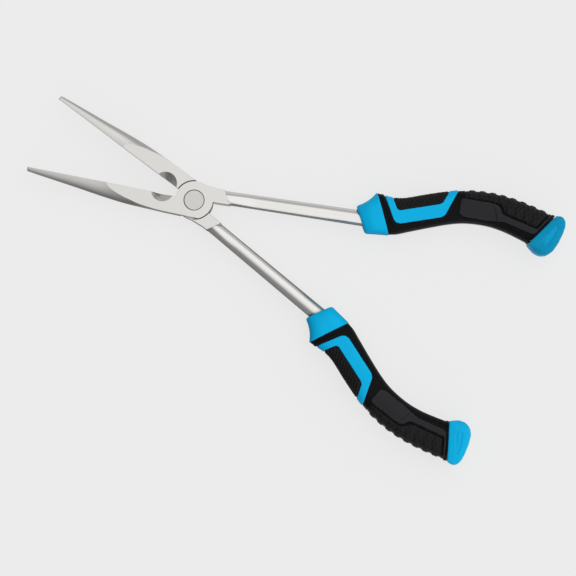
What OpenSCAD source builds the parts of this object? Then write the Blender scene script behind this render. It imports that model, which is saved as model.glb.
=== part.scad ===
// Long-nose fishing pliers: two crossed stainless levers on one rivet, moulded two-colour grips.
// Millimetres. Origin on the pivot axis at the rear flat of the joint, +X towards the handles,
// jaws towards -X, +Z along the pivot towards the front lever.
// Each lever is drawn closed and centred on z = 0, with its jaw face on y = 0 and its handle
// on the +Y side, then swung out by half the opening angle.
// The rear lever is the front one turned half a turn about X.

/* [Pose] */
// Angle each lever is swung out from the closed position
half_open = 12.65; // [10:0.05:14]

/* [Joint] */
// Thickness of the lapped joint and jaw root
joint_t = 10; // [9.6:0.1:10.4]
// Radius of the round half-lap boss
boss_r = 9.8; // [9.6:0.1:9.9]
// Radius of the shoulder that surrounds the other lever's boss
shoulder_r = 10.1; // [10.05:0.05:10.3]
// Radius of the rivet shaft
rivet_r = 4; // [3.5:0.1:4.2]
// Radius of the rivet's flush heads
head_r = 5.25; // [5:0.05:5.6]
// Radial running clearance of the rivet in the rear lever
run_gap = 0.05; // [0.03:0.01:0.08]

/* [Jaws] */
// Length from the pivot to the jaw tip
jaw_l = 88.4; // [84:0.2:92]
// Height of the jaw root
jaw_h = 8.8; // [8.4:0.1:9]
// Pitch of the gripping teeth
tooth_pitch = 1.4; // [1.2:0.1:2]
// Depth of the gripping teeth
tooth_d = 0.35; // [0.2:0.05:0.5]

/* [Handles] */
// Shank radius behind the joint
shank_r0 = 3.6; // [3.4:0.05:3.8]
// Shank radius where it enters the collar
shank_r1 = 4.05; // [3.9:0.05:4.2]
// Half thickness of the flat tang inside the grip
tang_half = 2.4; // [2:0.1:2.6]
// Half thickness of the soft sleeve
grip_half = 7.5; // [7.3:0.1:8]
// Half thickness of the collar and end cap
end_half = 8.5; // [8.3:0.1:8.8]
// Thickness of the soft sleeve over the core
sleeve_t = 3.2; // [3:0.1:3.4]
// Depth of the pads, frame and panels set into the sleeve
inlay_t = 1.5; // [1.2:0.1:1.7]
// Gap between neighbouring mouldings
gap = 0.08; // [0.05:0.01:0.12]

/* [Hidden] */

STEEL = [0.78, 0.79, 0.80];
BLUE = [0.05, 0.60, 0.85];
BLACK = [0.09, 0.09, 0.10];
GREY = [0.19, 0.19, 0.21];

joint_half = joint_t / 2;
head_depth = head_r - rivet_r; // 45 degree head
lap_gap = 0.025;               // from mid-plane to each half-lap face
over = 1;                      // overshoot of cuts through the joint
reach = 20;                    // beyond the grip's half thickness
neck_inner_y = 1.3;
neck_outer_y = jaw_h - 0.1;
tooth_count = 25;
first_tooth_x = -jaw_l + 0.8;
shank_start = [20, 5.0];
shank_end = [91, 8.75];

// ---------- sections and skins ----------
function clamp(v, limit) = max(-limit, min(limit, v));
function signed_pow(v, e) = sign(v) * pow(abs(v), e);
function catmull_rom(a, b, c, d, t) =
    0.5 * (2 * b + (c - a) * t + (2 * a - 5 * b + 4 * c - d) * t * t
        + (3 * b - a - 3 * c + d) * t * t * t);
// table row, held at the first and last
function row(table, i) = table[max(0, min(len(table) - 1, i))];
// smooth station at fractional row t
function station_at(table, t) =
    let (i = min(len(table) - 2, max(0, floor(t))))
    catmull_rom(row(table, i - 1), table[i], table[i + 1], row(table, i + 2), t - i);

// one ring of a superellipse section, inset all round, its sides cut flat at the half thickness;
// station: outer edge x, y, inner edge x, y, half thickness
function ring(station, inset, points, power, bulge) =
    let (outer = [station[0], station[1]],
        inner = [station[2], station[3]],
        span = norm(outer - inner),
        dir = (outer - inner) / span,
        mid = (outer + inner) / 2,
        half_span = span / 2 - inset,
        half_t = station[4] - inset)
    [for (j = [0 : points - 1])
        let (a = 360 * j / points,
            u = half_span * signed_pow(cos(a), 2 / power))
        [mid.x + dir.x * u, mid.y + dir.y * u,
            clamp(half_t * bulge * signed_pow(sin(a), 2 / power), half_t)]];

// closed skin through a list of rings
module skin(rings) {
    m = len(rings[0]);
    k = len(rings);
    polyhedron(points = [for (r = rings) for (p = r) p],
        faces = concat(
            [for (i = [0 : k - 2]) for (j = [0 : m - 1])
                [(i + 1) * m + j, i * m + (j + 1) % m, i * m + j]],
            [for (i = [0 : k - 2]) for (j = [0 : m - 1])
                [(i + 1) * m + j, (i + 1) * m + (j + 1) % m, i * m + (j + 1) % m]],
            [[for (j = [0 : m - 1]) j]],
            [[for (j = [m - 1 : -1 : 0]) (k - 1) * m + j]]));
}

// ---------- placing ----------
module place_front()
    translate([0, 0, joint_half]) rotate([0, 0, half_open]) children();
module place_rear()
    translate([0, 0, joint_half]) rotate([0, 0, -half_open]) rotate([180, 0, 0]) children();
module both_faces() for (s = [0, 1]) mirror([0, 0, s]) children();

// ---------- steel ----------
// jaw slices: distance from the pivot, depth, half thickness before the flats are cut
JAW = [[jaw_l, 1.3, 1.0], [jaw_l - 1, 2.2, 1.5], [78, 3.5, 2.3], [70, 4.45, 3.0],
    [60, 5.65, 3.9], [48, 7.2, 4.98], [44, 7.65, 5.15], [40, 8.05, 5.55],
    [36, 8.4, 6.2], [32, 8.6, 7.1], [28, 8.7, 9.5]];
// flat tang: outer edge towards the rear end, then inner edge back
TANG_OUTER = [[87, 10.9], [95.5, 12.1], [103, 15.5], [127.2, 24.9]];
TANG_INNER = [[128.8, 19.1], [105, 10.1], [88.2, 6.0]];

module boss() {
    intersection() {
        translate([0, 0, -joint_half]) cylinder(h = joint_t, r = boss_r, $fn = 128);
        translate([-20, -jaw_h, -20]) cube([40, 40, 40]);
    }
}
module jaw() {
    hull() {
        for (s = JAW)
            translate([-s[0], 0, 0]) rotate([90, 0, 90]) linear_extrude(0.01)
                polygon([for (a = [180 : 10 : 360])
                    [s[1] * signed_pow(sin(a), 0.8),
                        clamp(s[2] * signed_pow(cos(a), 0.8), joint_half)]]);
        translate([-22, -jaw_h, -joint_half]) cube([16, jaw_h, joint_t]);
    }
    // root carried round to the boss
    translate([-8, -jaw_h, -joint_half]) cube([8, jaw_h, joint_t]);
}
// tapered bar between two points of the lever plane
module rod(start, end, start_r, end_r, facets = 64) {
    translate([start.x, start.y, 0]) rotate([0, 90, atan2(end.y - start.y, end.x - start.x)])
        cylinder(h = norm(end - start), r1 = start_r, r2 = end_r, $fn = facets);
}
// flat bar blending into the round shank
module neck() {
    translate([0, neck_inner_y, -joint_half])
        cube([10, neck_outer_y - neck_inner_y, joint_t]);
    hull() {
        translate([0, 0, -joint_half]) linear_extrude(joint_t)
            polygon([[9, neck_inner_y], [15.5, neck_inner_y], [15.5, 3.6],
                [12.4, jaw_h - 0.6], [11.8, neck_outer_y], [9, neck_outer_y]]);
        rod(shank_start + [2, 0.1], shank_start + [2.1, 0.11], shank_r0 - 0.3, shank_r0 - 0.3, 32);
    }
}
module tang(grow) {
    translate([0, 0, -tang_half - grow]) linear_extrude(2 * (tang_half + grow))
        polygon(concat([for (p = TANG_OUTER) p + [0, grow]],
            [[148.6 + grow, 28.5 + grow], [149.4 + grow, 22.7 - grow]],
            [for (p = TANG_INNER) p - [0, grow]]));
}
// rivet hole and countersink in the outer face
module rivet_hole(bore_gap) {
    flare = 0.5; // overshoot of the cone at each end
    hole_r = rivet_r + bore_gap;
    translate([0, 0, -joint_half - over]) cylinder(h = joint_t + 2 * over, r = hole_r, $fn = 96);
    translate([0, 0, joint_half - head_depth - flare])
        cylinder(h = head_depth + 2 * flare, r1 = hole_r - flare,
            r2 = head_r + bore_gap + flare, $fn = 96);
}
module teeth_cut() {
    end_x = first_tooth_x + tooth_count * tooth_pitch;
    translate([0, 0, -joint_half - over]) linear_extrude(joint_t + 2 * over)
        polygon(concat([[-jaw_l - over, over], [-jaw_l - over, 0]],
            [for (i = [0 : tooth_count - 1]) each [
                [first_tooth_x + i * tooth_pitch, 0],
                [first_tooth_x + (i + 0.5) * tooth_pitch, -tooth_d]]],
            [[end_x, 0], [end_x, over]]));
}
module lever(bore_gap) {
    difference() {
        union() {
            boss();
            jaw();
            neck();
            rod(shank_start, shank_end, shank_r0, shank_r1);
            tang(0);
        }
        // seat of the other lever's boss
        translate([0, 0, -joint_half - over])
            cylinder(h = joint_half + over + lap_gap, r = shoulder_r, $fn = 128);
        rivet_hole(bore_gap);
        // ground half-moon of the cutter
        both_faces() translate([-17.05, 1.85, 0])
            cylinder(h = joint_half + 0.1, r1 = 1.6, r2 = 6.02, $fn = 64);
        teeth_cut();
    }
}

// ---------- grip body ----------
// grip stations: outer edge x, y, inner edge x, y, half thickness
GRIP = [[87.3, 21.2, 97.4, 1.6, grip_half],
    [92.4, 22.7, 102.4, 3.1, grip_half],
    [98.4, 21.9, 106.2, 4.1, grip_half],
    [105.7, 22.7, 112.0, 6.6, grip_half],
    [115.8, 26.5, 122.0, 10.8, grip_half],
    [124.9, 29.8, 131.0, 14.3, grip_half],
    [133.6, 32.5, 138.0, 16.3, grip_half],
    [143.0, 34.1, 145.0, 17.2, grip_half],
    [152.3, 34.5, 152.0, 17.3, grip_half],
    [161.5, 33.8, 159.0, 16.4, grip_half],
    [171.5, 32.0, 166.0, 14.7, grip_half],
    [183.6, 28.9, 172.8, 12.6, grip_half],
    [187.6, 26.4, 176.2, 10.2, grip_half]];

function grip_ring(t, inset, points) = ring(station_at(GRIP, t), inset, points, 2.7, 1.04);
// grip body between two fractional stations
module grip_body(inset, from, to, steps, points = 28) {
    skin([for (i = [0 : steps]) grip_ring(from + (to - from) * i / steps, inset, points)]);
}
// space for the core, with its gap
module core_space(from, to, steps) {
    grip_body(sleeve_t - gap, from, to, steps, 16);
}

// ---------- mouldings of one grip ----------
// resize([0, 0, 0]) leaves the size of a moulding unchanged
module grip_core() {
    resize([0, 0, 0]) difference() {
        skin([for (t = concat([0.35], [for (i = [1 : 23]) i / 2], [11.75]))
            grip_ring(t, sleeve_t, 16)]);
        tang(0.04);
        rod(shank_start, shank_end + [0.6, 0.03], shank_r0 + 0.15, shank_r1 + 0.15, 32);
    }
}

// collar: slanted ring flaring from the shank (s = 0) to the grip (s = 1)
COLLAR_STEPS = [0, 0.03, 0.08, 0.2, 0.32, 0.44, 0.56, 0.68, 0.8, 0.94, 1];
function collar_half(s) = s > 0.55 ? end_half : end_half - 2.4 * pow(1 - s / 0.55, 2);
function collar_station(s) =
    let (bow = 4 * s * (1 - s))
    [82.5 + 9.0 * s + 0.75 * bow, 14.2 + 8.9 * s - 0.75 * bow,
        89.7 + 12.1 * s, 1.0 + 1.6 * s + 0.1 * bow, collar_half(s)];
// easing of the two end edges
function collar_inset(s) =
    s < 0.08 ? 0.9 * (1 - s / 0.08) * (1 - s / 0.08)
    : s > 0.94 ? 0.5 * (s - 0.94) / 0.06
    : 0;
module collar() {
    resize([0, 0, 0]) difference() {
        skin([for (s = COLLAR_STEPS) ring(collar_station(s), collar_inset(s), 28, 2.8, 1.06)]);
        rod(shank_start, shank_end + [7, 0.35], shank_r0 + 0.12, shank_r1 + 0.12, 28);
        core_space(0.27, 3, 8);
    }
}

// end cap: D-shaped boot over the end of the core
CAP = [[172.9, 12.4], [176.6, 8.8], [180, 7.8], [183.4, 8.5], [186, 11], [188, 15.8],
    [189.3, 20.8], [189.8, 24.8], [189.3, 27.5], [188, 29], [186.4, 29.3], [184, 28.9]];
// edge rounding: half thickness, inset of the outline
CAP_LAYERS = [[end_half, 2.2], [end_half * 0.93, 1.2], [end_half * 0.8, 0.45],
    [end_half * 0.6, 0]];
CAP_SLOT = [[179.9, 14.7], [185.1, 23.1], [186.2, 21.8], [181.7, 13.5]];
slot_depth = 0.4;
module end_cap() {
    resize([0, 0, 0]) difference() {
        hull() for (layer = CAP_LAYERS)
            translate([0, 0, -layer[0]]) linear_extrude(2 * layer[0]) intersection() {
                offset(delta = -layer[1]) polygon(CAP);
                polygon(CAP);
            }
        core_space(9, 11.8, 8);
        // shallow slot in each face
        both_faces() translate([0, 0, end_half - slot_depth]) linear_extrude(2)
            offset(r = 0.6) polygon(CAP_SLOT);
    }
}

// x, y outlines of the inlays, cut through the whole thickness
FRAME = [[95.0, 30], [96.3, 21.4], [102.6, 10.6], [104.2, 9.2], [106.6, 9.2],
    [126.4, 16.6], [128.2, 18.2], [132.3, 31.6], [132.6, 40], [95.0, 40]];
THUMB = [[98.9, 30], [100.3, 21.3], [103.5, 16.2], [105.0, 15.8], [124.4, 23.0],
    [125.8, 24.2], [128.3, 31], [128.5, 40], [98.9, 40]];
PALM = [[135.6, 40], [136.2, 29.4], [150.5, 29.8], [154.4, 29.3], [156.3, 27.7],
    [157.7, 25.2], [159.8, 24.6], [175.2, 21.3], [180.3, 29.6], [180.8, 40]];
PANEL = [[134.4, 27.4], [135.4, 28.5], [150.5, 28.9], [153.9, 28.4], [155.4, 27.0],
    [156.8, 24.4], [159.2, 23.7], [175.6, 20.3], [181.2, 29.0], [182.2, 28.4],
    [174.9, 17.5], [173.4, 17.3], [159, 20.5], [156.6, 20.3], [150, 19.5],
    [137.6, 19.1], [134.8, 20.2]];
module prism(outline, grow)
    translate([0, 0, -reach]) linear_extrude(2 * reach) offset(delta = grow) polygon(outline);
// shell standing proud of the sleeve and sunk into it
module inlay(proud, steps, from, to) {
    difference() {
        grip_body(-proud, from, to, steps);
        grip_body(inlay_t - gap / 2, from - 0.25, to + 0.25, steps, 20);
    }
}
// cross grooves tangent to the outer edge at the given stations
module grooves(stations, radius, facets) {
    for (t = stations)
        let (p = station_at(GRIP, t))
            translate([p[0], p[1] + radius, 0])
                cylinder(h = 2 * reach, r = radius, center = true, $fn = facets);
}
module accent_frame() {
    resize([0, 0, 0]) intersection() {
        inlay(0.45, 18, 1.1, 6.4);
        difference() {
            prism(FRAME, -gap / 2);
            prism(THUMB, gap / 2);
        }
    }
}
module thumb_pad() {
    resize([0, 0, 0]) intersection() {
        difference() {
            inlay(0.35, 16, 1.6, 6.2);
            grooves([for (i = [0 : 13]) 2.35 + 0.232 * i], 0.75, 10);
        }
        prism(THUMB, -gap / 2);
    }
}
module palm_pad() {
    resize([0, 0, 0]) intersection() {
        difference() {
            inlay(0.45, 22, 5.6, 11);
            grooves([for (i = [0 : 8]) 6.37 + 0.6 * i - 0.0072 * i * i], 1.6, 14);
        }
        prism(PALM, -gap / 2);
    }
}
// side panel on the lever's +Z (side = 1) or -Z (side = -1) face
module panel(side) {
    resize([0, 0, 0]) intersection() {
        inlay(0.12, 18, 5.4, 11.2);
        prism(PANEL, -gap / 2);
        translate([100, 0, side > 0 ? 0 : -reach]) cube([100, 60, reach]);
    }
}
module grip_sleeve() {
    resize([0, 0, 0]) difference() {
        grip_body(0, 0.9, 11 - gap / 12, 26);
        core_space(0, 12, 24);
        // seats of the inlays
        difference() {
            union() {
                prism(FRAME, gap / 2);
                prism(PALM, gap / 2);
                prism(PANEL, gap / 2);
            }
            grip_body(inlay_t + gap / 2, 0.5, 11.5, 24, 20);
        }
    }
}

// ---------- nodes ----------
module front_lever() color(STEEL) place_front() lever(0);
module rear_lever() color(STEEL) place_rear() lever(run_gap);
module pivot_rivet() color(STEEL) rotate_extrude($fn = 96)
    polygon([[0, 0], [head_r, 0], [rivet_r, head_depth], [rivet_r, joint_t - head_depth],
        [head_r, joint_t], [0, joint_t]]);
module front_grip_core() color(GREY) place_front() grip_core();
module rear_grip_core() color(GREY) place_rear() grip_core();
module front_collar() color(BLUE) place_front() collar();
module rear_collar() color(BLUE) place_rear() collar();
module front_grip_sleeve() color(BLACK) place_front() grip_sleeve();
module rear_grip_sleeve() color(BLACK) place_rear() grip_sleeve();
module front_accent_frame() color(BLUE) place_front() accent_frame();
module rear_accent_frame() color(BLUE) place_rear() accent_frame();
module front_thumb_pad() color(BLACK) place_front() thumb_pad();
module rear_thumb_pad() color(BLACK) place_rear() thumb_pad();
module front_palm_pad() color(BLACK) place_front() palm_pad();
module rear_palm_pad() color(BLACK) place_rear() palm_pad();
module front_outer_panel() color(GREY) place_front() panel(1);
module front_inner_panel() color(GREY) place_front() panel(-1);
module rear_outer_panel() color(GREY) place_rear() panel(1);
module rear_inner_panel() color(GREY) place_rear() panel(-1);
module front_end_cap() color(BLUE) place_front() end_cap();
module rear_end_cap() color(BLUE) place_rear() end_cap();

front_lever();
rear_lever();
pivot_rivet();
front_grip_core();
front_collar();
front_grip_sleeve();
front_accent_frame();
front_thumb_pad();
front_palm_pad();
front_outer_panel();
front_inner_panel();
front_end_cap();
rear_grip_core();
rear_collar();
rear_grip_sleeve();
rear_accent_frame();
rear_thumb_pad();
rear_palm_pad();
rear_outer_panel();
rear_inner_panel();
rear_end_cap();
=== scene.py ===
"""Pliers with two-colour grips, lying open on a pale floor.

The pivot stands upright (+Z) at the world origin. The jaws point to -X and the grips to +X.
The front half has its grip on the +Y side and the upper part of the joint. The rear half is
the front half turned over about the X axis. Both are modelled in one lever's own frame: in
millimetres, closed, pivot at the origin, jaw on the -Y side of -X, grip on the +Y side of +X.
There "outer" edges face +y, "inner" edges face the other grip, and -z is the lap side.
"""

import math

import bpy
import numpy as np
from mathutils import Matrix, Vector


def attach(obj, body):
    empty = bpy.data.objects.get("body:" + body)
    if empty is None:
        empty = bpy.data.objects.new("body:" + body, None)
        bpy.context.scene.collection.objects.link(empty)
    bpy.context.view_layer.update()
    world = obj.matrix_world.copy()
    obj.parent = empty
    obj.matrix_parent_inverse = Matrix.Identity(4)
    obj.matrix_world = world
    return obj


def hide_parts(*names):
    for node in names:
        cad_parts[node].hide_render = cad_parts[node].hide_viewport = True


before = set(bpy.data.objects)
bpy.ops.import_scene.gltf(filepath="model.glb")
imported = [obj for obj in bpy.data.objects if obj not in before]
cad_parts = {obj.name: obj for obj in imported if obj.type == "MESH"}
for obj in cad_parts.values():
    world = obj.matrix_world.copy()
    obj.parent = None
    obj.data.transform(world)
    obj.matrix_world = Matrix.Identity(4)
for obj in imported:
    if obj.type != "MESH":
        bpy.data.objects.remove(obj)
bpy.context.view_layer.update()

MM = 0.001
SIDES = ("front", "rear")
HALF_OPEN = math.radians(12.65)  # each lever's turn from closed
HALF_THICK = 5.0  # of the levers, mm
SHANK_START = np.array([20.0, 5.0])
SHANK_END = np.array([91.0, 8.75])
SHANK_SPAN, SHANK_RISE = SHANK_END - SHANK_START
SHANK_DIR = (SHANK_END - SHANK_START) / np.linalg.norm(SHANK_END - SHANK_START)


# ------------------------------------------------------------------ pieces
def to_world(points, side):
    """Lever frame in mm to the opened tool in metres."""
    x, y, z = np.asarray(points, float).T
    c, s = math.cos(HALF_OPEN), math.sin(HALF_OPEN)
    world_x, world_y = c * x - s * y, s * x + c * y
    if side == "rear":
        world_y, z = -world_y, -z
    return np.stack([world_x, world_y, z + HALF_THICK], 1) * MM


def link_mesh(name, points, faces):
    mesh = bpy.data.meshes.new(name)
    mesh.from_pydata(np.asarray(points, float).tolist(), [], faces)
    mesh.validate()
    ob = bpy.data.objects.new(name, mesh)
    bpy.context.scene.collection.objects.link(ob)
    return ob


def add_piece(name, world, local, faces, material, sharp, point_marks=None, face_marks=None):
    """Smooth-shaded object that also stores lever-frame places and marks for its material."""
    ob = link_mesh(name, world, faces)
    mesh = ob.data
    loc = mesh.attributes.new("loc", "FLOAT_VECTOR", "POINT")
    loc.data.foreach_set("vector", np.asarray(local, np.float32).ravel())
    for domain, marks in (("POINT", point_marks), ("FACE", face_marks)):
        for key, values in (marks or {}).items():
            mark = mesh.attributes.new(key, "FLOAT", domain)
            mark.data.foreach_set("value", np.asarray(values, np.float32).ravel())
    mesh.shade_smooth()
    mesh.set_sharp_from_angle(angle=math.radians(sharp))
    mesh.materials.append(material)
    return ob


def register(ob, half, node):
    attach(ob, half)
    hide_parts(node)


def add_to_side(side, name, points, faces, material, node, slot, sharp=35, **marks):
    world = to_world(points, side)
    ob = add_piece(f"{side}_{name}", world, points, faces, material, sharp, **marks)
    register(ob, f"{side}_half", f"{side}_{node}")
    return ob


def add_to_both(*args, **options):
    for side in SIDES:
        add_to_side(side, *args, **options)


# ------------------------------------------------------------------ curves and outlines
def smooth(x, start, end):
    t = np.clip((x - start) / (end - start), 0, 1)
    return t * t * (3 - 2 * t)


def bell(x, width):
    return np.exp(-((x / width) ** 2))


def signed_power(values, exponent):
    return np.sign(values) * np.abs(values) ** exponent


def catmull(table, t):
    """Catmull-Rom curve through the rows of a table; t counts rows."""
    count = len(table)
    i = np.clip(np.floor(t).astype(int), 0, count - 2)
    f = (t - i)[:, None]
    a, b, c, d = (table[np.clip(i + k, 0, count - 1)] for k in (-1, 0, 1, 2))
    quadratic = 2 * a - 5 * b + 4 * c - d
    return 0.5 * (2 * b + (c - a) * f + quadratic * f**2 + (3 * b - a - 3 * c + d) * f**3)


def spline(x, xs, ys):
    """Curve through knots that never overshoots them."""
    xs, ys = np.asarray(xs, float), np.asarray(ys, float)
    d = np.diff(ys) / np.diff(xs)
    inner = 2 * d[:-1] * d[1:] / (d[:-1] + d[1:] + 1e-12)
    slope = np.concatenate([[d[0]], np.where(d[:-1] * d[1:] > 0, inner, 0), [d[-1]]])
    k = np.clip(np.searchsorted(xs, x) - 1, 0, len(xs) - 2)
    h = xs[k + 1] - xs[k]
    t = (x - xs[k]) / h
    return (
        (2 * t**3 - 3 * t**2 + 1) * ys[k]
        + (t**3 - 2 * t**2 + t) * h * slope[k]
        + (-2 * t**3 + 3 * t**2) * ys[k + 1]
        + (t**3 - t**2) * h * slope[k + 1]
    )


def fillet(polygon, radius, steps=7):
    """Closed polygon with its corners rounded to radius (a number, or one per corner)."""
    corners = np.asarray(polygon, float)
    count = len(corners)
    radii = [radius] * count if np.isscalar(radius) else radius
    out = []
    for k in range(count):
        before, corner, after = corners[k - 1], corners[k], corners[(k + 1) % count]
        u, v = before - corner, after - corner
        len_u, len_v = np.linalg.norm(u), np.linalg.norm(v)
        u, v = u / len_u, v / len_v
        angle = math.acos(max(-1, min(1, float(u @ v))))
        if angle > math.pi - 0.02:
            out.append(corner)
            continue
        cut = min(radii[k] / math.tan(angle / 2), 0.45 * len_u, 0.45 * len_v)
        start, end = corner + u * cut, corner + v * cut
        for i in range(steps + 1):
            t = i / steps
            out.append((1 - t) ** 2 * start + 2 * t * (1 - t) * corner + t * t * end)
    return np.array(out)


def outline_distance(x, y, polygon):
    """Signed distance to a closed polygon, negative inside."""
    shape = x.shape
    x, y = x.ravel(), y.ravel()
    distance = np.full(x.shape, 1e9)
    inside = np.zeros(x.shape, bool)
    for k in range(len(polygon)):
        ax, ay = polygon[k - 1]
        bx, by = polygon[k]
        ex, ey = bx - ax, by - ay
        square = ex * ex + ey * ey
        if square < 1e-12:
            continue
        t = np.clip(((x - ax) * ex + (y - ay) * ey) / square, 0, 1)
        distance = np.minimum(distance, np.hypot(x - ax - t * ex, y - ay - t * ey))
        crosses = (ay > y) != (by > y)
        cross_x = ax + (y - ay) * ex / (ey if abs(ey) > 1e-12 else 1e-12)
        inside ^= crosses & (x < cross_x)
    return np.where(inside, -distance, distance).reshape(shape)


def unit_section(half_height, half_width, count):
    """Superellipse of unit half sizes, spaced evenly once scaled; also its scaled perimeter."""
    exponent = 2 / 2.9
    a = np.linspace(0, 2 * np.pi, 20001)
    u = signed_power(np.cos(a), exponent)
    v = signed_power(np.sin(a), exponent)
    steps = np.hypot(np.diff(u * half_height), np.diff(v * half_width))
    run = np.concatenate([[0], np.cumsum(steps)])
    at = np.linspace(0, run[-1], count + 1)[:-1]
    return np.interp(at, run, u), np.interp(at, run, v), run[-1]


# ------------------------------------------------------------------ lofts
def circle_angles(count, start=0.0):
    return np.arange(count) / count * 2 * np.pi + start


def loft_faces(rings, count, closed=False, caps=False):
    faces = []
    for i in range(rings if closed else rings - 1):
        a, b = i * count, ((i + 1) % rings) * count
        for j in range(count):
            k = (j + 1) % count
            faces.append([a + j, a + k, b + k, b + j])
    if caps:
        faces.append(list(range(count))[::-1])
        faces.append([(rings - 1) * count + j for j in range(count)])
    return faces


def loft(rings, **options):
    """Points and outward-facing faces of a closed skin over equal rings."""
    points = np.concatenate(rings)
    faces = loft_faces(len(rings), len(rings[0]), **options)
    volume = 0.0
    for face in faces:
        p = points[face]
        for k in range(1, len(face) - 1):
            volume += float(np.dot(p[0], np.cross(p[k], p[k + 1])))
    return points, [face[::-1] for face in faces] if volume < 0 else faces


def at_height(plan, z):
    return np.c_[plan, np.full(len(plan), z)]


def prism(outline, below, above):
    """Outline carried past the lever's two flats by the given amounts."""
    plan = np.asarray(outline, float)
    ends = [at_height(plan, -HALF_THICK - below), at_height(plan, HALF_THICK + above)]
    return loft(ends, caps=True)


def cone(centre, z0, z1, r0, r1, count=160):
    a = circle_angles(count, 0.0137)
    circle = np.stack([np.cos(a), np.sin(a)], 1)
    ends = [at_height(centre + r * circle, z) for r, z in ((r0, z0), (r1, z1))]
    return loft(ends, caps=True)


# ------------------------------------------------------------------ grip surface
# stations along the grip: outer edge x, y, inner edge x, y
GRIP_STATIONS = np.array([
    [87.3, 21.2, 97.4, 1.6],
    [92.4, 22.7, 102.4, 3.1],
    [98.4, 21.9, 106.2, 4.1],
    [105.7, 22.7, 112.0, 6.6],
    [115.8, 26.5, 122.0, 10.8],
    [124.9, 29.8, 131.0, 14.3],
    [133.6, 32.5, 138.0, 16.3],
    [143.0, 34.1, 145.0, 17.2],
    [152.3, 34.5, 152.0, 17.3],
    [161.5, 33.8, 159.0, 16.4],
    [171.5, 32.0, 166.0, 14.7],
    [183.6, 28.9, 172.8, 12.6],
    [187.6, 26.4, 176.2, 10.2],
])
# side-view outlines (x, y) of the mouldings; points at y = 44 lie clear of the grip
FRAME_OUTER = [
    [95.0, 44], [96.3, 21.4], [102.6, 10.6], [104.2, 9.2], [106.6, 9.2], [126.4, 16.6],
    [128.2, 18.2], [132.3, 31.6], [132.6, 44],
]
FRAME_INNER = [
    [98.9, 44], [100.3, 21.3], [103.5, 16.2], [105.0, 15.8], [124.4, 23.0], [125.8, 24.2],
    [128.3, 31], [128.5, 44],
]
PALM_PAD = [
    [135.6, 44], [136.2, 29.4], [150.5, 29.8], [154.4, 29.3], [156.3, 27.7], [157.7, 25.2],
    [159.8, 24.6], [175.2, 21.3], [180.3, 29.6], [180.8, 44],
]
PALM_PAD_RADII = [1, 1.0, 6, 3, 3, 2.5, 2.5, 0.9, 0.8, 1]
SIDE_PANEL = [
    [134.4, 27.4], [135.4, 28.5], [150.5, 28.9], [153.9, 28.4], [155.4, 27.0], [156.8, 24.4],
    [159.2, 23.7], [175.6, 20.3], [181.2, 29.0], [182.2, 28.4], [174.9, 17.5], [173.4, 17.3],
    [159, 20.5], [156.6, 20.3], [150, 19.5], [137.6, 19.1], [134.8, 20.2],
]
SIDE_PANEL_RADII = [1.0, 0.9, 6, 3, 3, 2.5, 2.5, 1.2, 0.4, 0.4, 1.6, 1.2, 3, 2, 4, 2, 1.2]
# lower, flatter field of the side panel inside its raised Z-shaped rib
PANEL_FIELD = [
    [133, 26.2], [150.0, 27.1], [152.2, 26.4], [153.2, 24.6], [154.6, 20.6], [154.4, 15],
    [133, 15],
]
PANEL_FIELD_RADII = [0.6, 4, 1.5, 1.5, 1.0, 0.6, 0.6]

GRIP_HALF_WIDTH = 7.5
MEAN_HALF_HEIGHT = 8.7
GRIP_ROWS = 420
GRIP_COLUMNS = 232
GRIP_RANGE = (0.885, 11.0)  # stretch of the station table that is covered
SCALLOP_ZERO_X = 139.8  # where the palm scallops are counted from
MOULDING_GAP = 0.10  # between the sleeve and the pieces set into it

SECTION_U, SECTION_V, PERIMETER = unit_section(MEAN_HALF_HEIGHT, GRIP_HALF_WIDTH, GRIP_COLUMNS)


def path_run(path):
    return np.concatenate([[0], np.cumsum(np.linalg.norm(np.diff(path, axis=0), axis=1))])


def grip_grid():
    """Grid points, their normals, and each row's run along the grip's middle line."""
    t = np.linspace(*GRIP_RANGE, 4000)
    stations = catmull(GRIP_STATIONS, t)
    run = path_run((stations[:, :2] + stations[:, 2:]) / 2)
    row_run = np.linspace(0, run[-1], GRIP_ROWS)
    stations = catmull(GRIP_STATIONS, np.interp(row_run, run, t))
    outer, inner = stations[:, :2], stations[:, 2:]
    height = np.linalg.norm(outer - inner, axis=1)
    up = (outer - inner) / height[:, None]
    centre = np.zeros((GRIP_ROWS, GRIP_COLUMNS, 3))
    centre[:, :, :2] = ((outer + inner) / 2)[:, None]
    points = centre.copy()
    points[:, :, :2] += up[:, None] * (height / 2)[:, None, None] * SECTION_U[None, :, None]
    points[:, :, 2] = GRIP_HALF_WIDTH * SECTION_V
    along = np.gradient(points, axis=0)
    around = np.roll(points, -1, 1) - np.roll(points, 1, 1)
    normals = np.cross(around, along)
    normals /= np.linalg.norm(normals, axis=2, keepdims=True) + 1e-12
    if ((points - centre) * normals).sum() < 0:
        normals = -normals
    return points, normals, row_run


GRID, GRID_NORMALS, ROW_RUN = grip_grid()


def over_rows(values):
    return np.repeat(values[:, None], GRIP_COLUMNS, 1)


def column_girth():
    """Way round the section from the outer edge, positive on the +z flank."""
    girth = np.arange(GRIP_COLUMNS) / GRIP_COLUMNS * PERIMETER
    girth = np.where(girth > PERIMETER / 2, girth - PERIMETER, girth)
    return np.repeat(girth[None], GRIP_ROWS, 0)


def outer_edge_run():
    edge = GRID[:, 0, :2]
    run = path_run(edge)
    return over_rows(run - np.interp(SCALLOP_ZERO_X, edge[:, 0], run))


def grid_distance(outline, radius):
    return outline_distance(GRID[:, :, 0], GRID[:, :, 1], fillet(outline, radius))


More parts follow.
